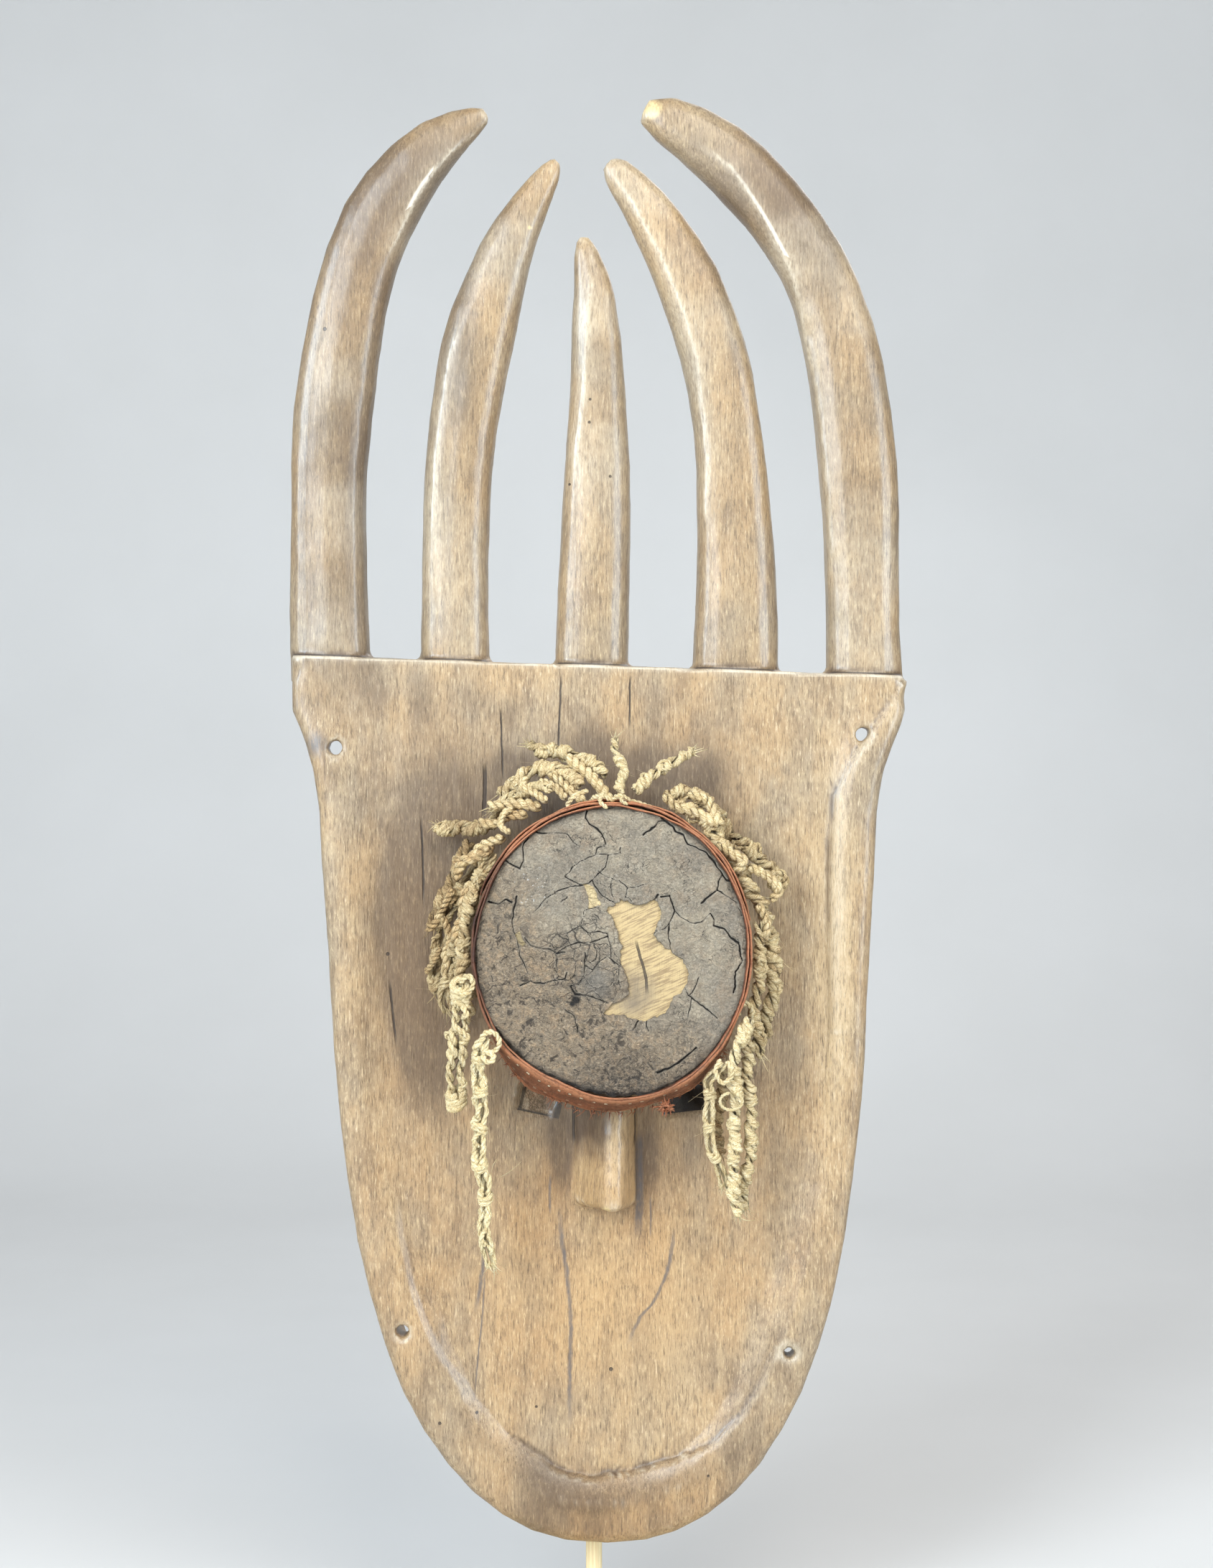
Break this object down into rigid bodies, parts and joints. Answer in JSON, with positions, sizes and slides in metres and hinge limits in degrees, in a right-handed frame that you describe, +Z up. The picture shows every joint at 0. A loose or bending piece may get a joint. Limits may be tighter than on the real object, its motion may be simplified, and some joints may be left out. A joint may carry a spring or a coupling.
{
  "type": "horned koranko mask",
  "caption": "Tall carved wooden face mask with curved horns on a flat top, a dished face, a resin-crusted forehead boss in a leather band with a cord fringe, on a rod and block foot",
  "frame": {"origin": "on the floor, under the middle of the whole object", "axes": "+Z up, the face looks along -Y, +X is the viewer's right when facing the mask"},
  "size_m": [0.3797, 0.18, 0.9736],
  "materials": {
    "weathered_wood": "old carved light wood, dry and fibrous, worn to a soft sheen on the horns and rim",
    "resin_crust": "matt grey-brown crust of resin and earth, dried and cracked",
    "red_leather": "red-brown dyed hide, worn and dull",
    "bast_cord": "straw-coloured plaited bast fibre, dry and frayed",
    "pale_pine": "bare planed pale pine"
  },
  "bodies": {
    "root": {"carved_mask": "weathered_wood", "resin_crust": "resin_crust", "leather_band": "red_leather", "tie_cord": "bast_cord", "fringe_arch_outer": "bast_cord", "fringe_arch_inner": "bast_cord", "fringe_rim_left": "bast_cord", "fringe_knotted_end": "bast_cord", "fringe_left_outer": "bast_cord", "fringe_left_second": "bast_cord", "fringe_left_third": "bast_cord", "fringe_left_inner": "bast_cord", "left_doubled_cord": "bast_cord", "left_long_chain": "bast_cord", "top_curl": "bast_cord", "top_stub": "bast_cord", "fringe_right_outer": "bast_cord", "fringe_right_inner": "bast_cord", "fringe_right_second": "bast_cord", "right_strand_left": "bast_cord", "right_strand_back": "bast_cord", "right_strand_middle": "bast_cord", "right_strand_right": "bast_cord", "stand_rod": "pale_pine", "stand_foot": "pale_pine"}
  },
  "joints": []
}
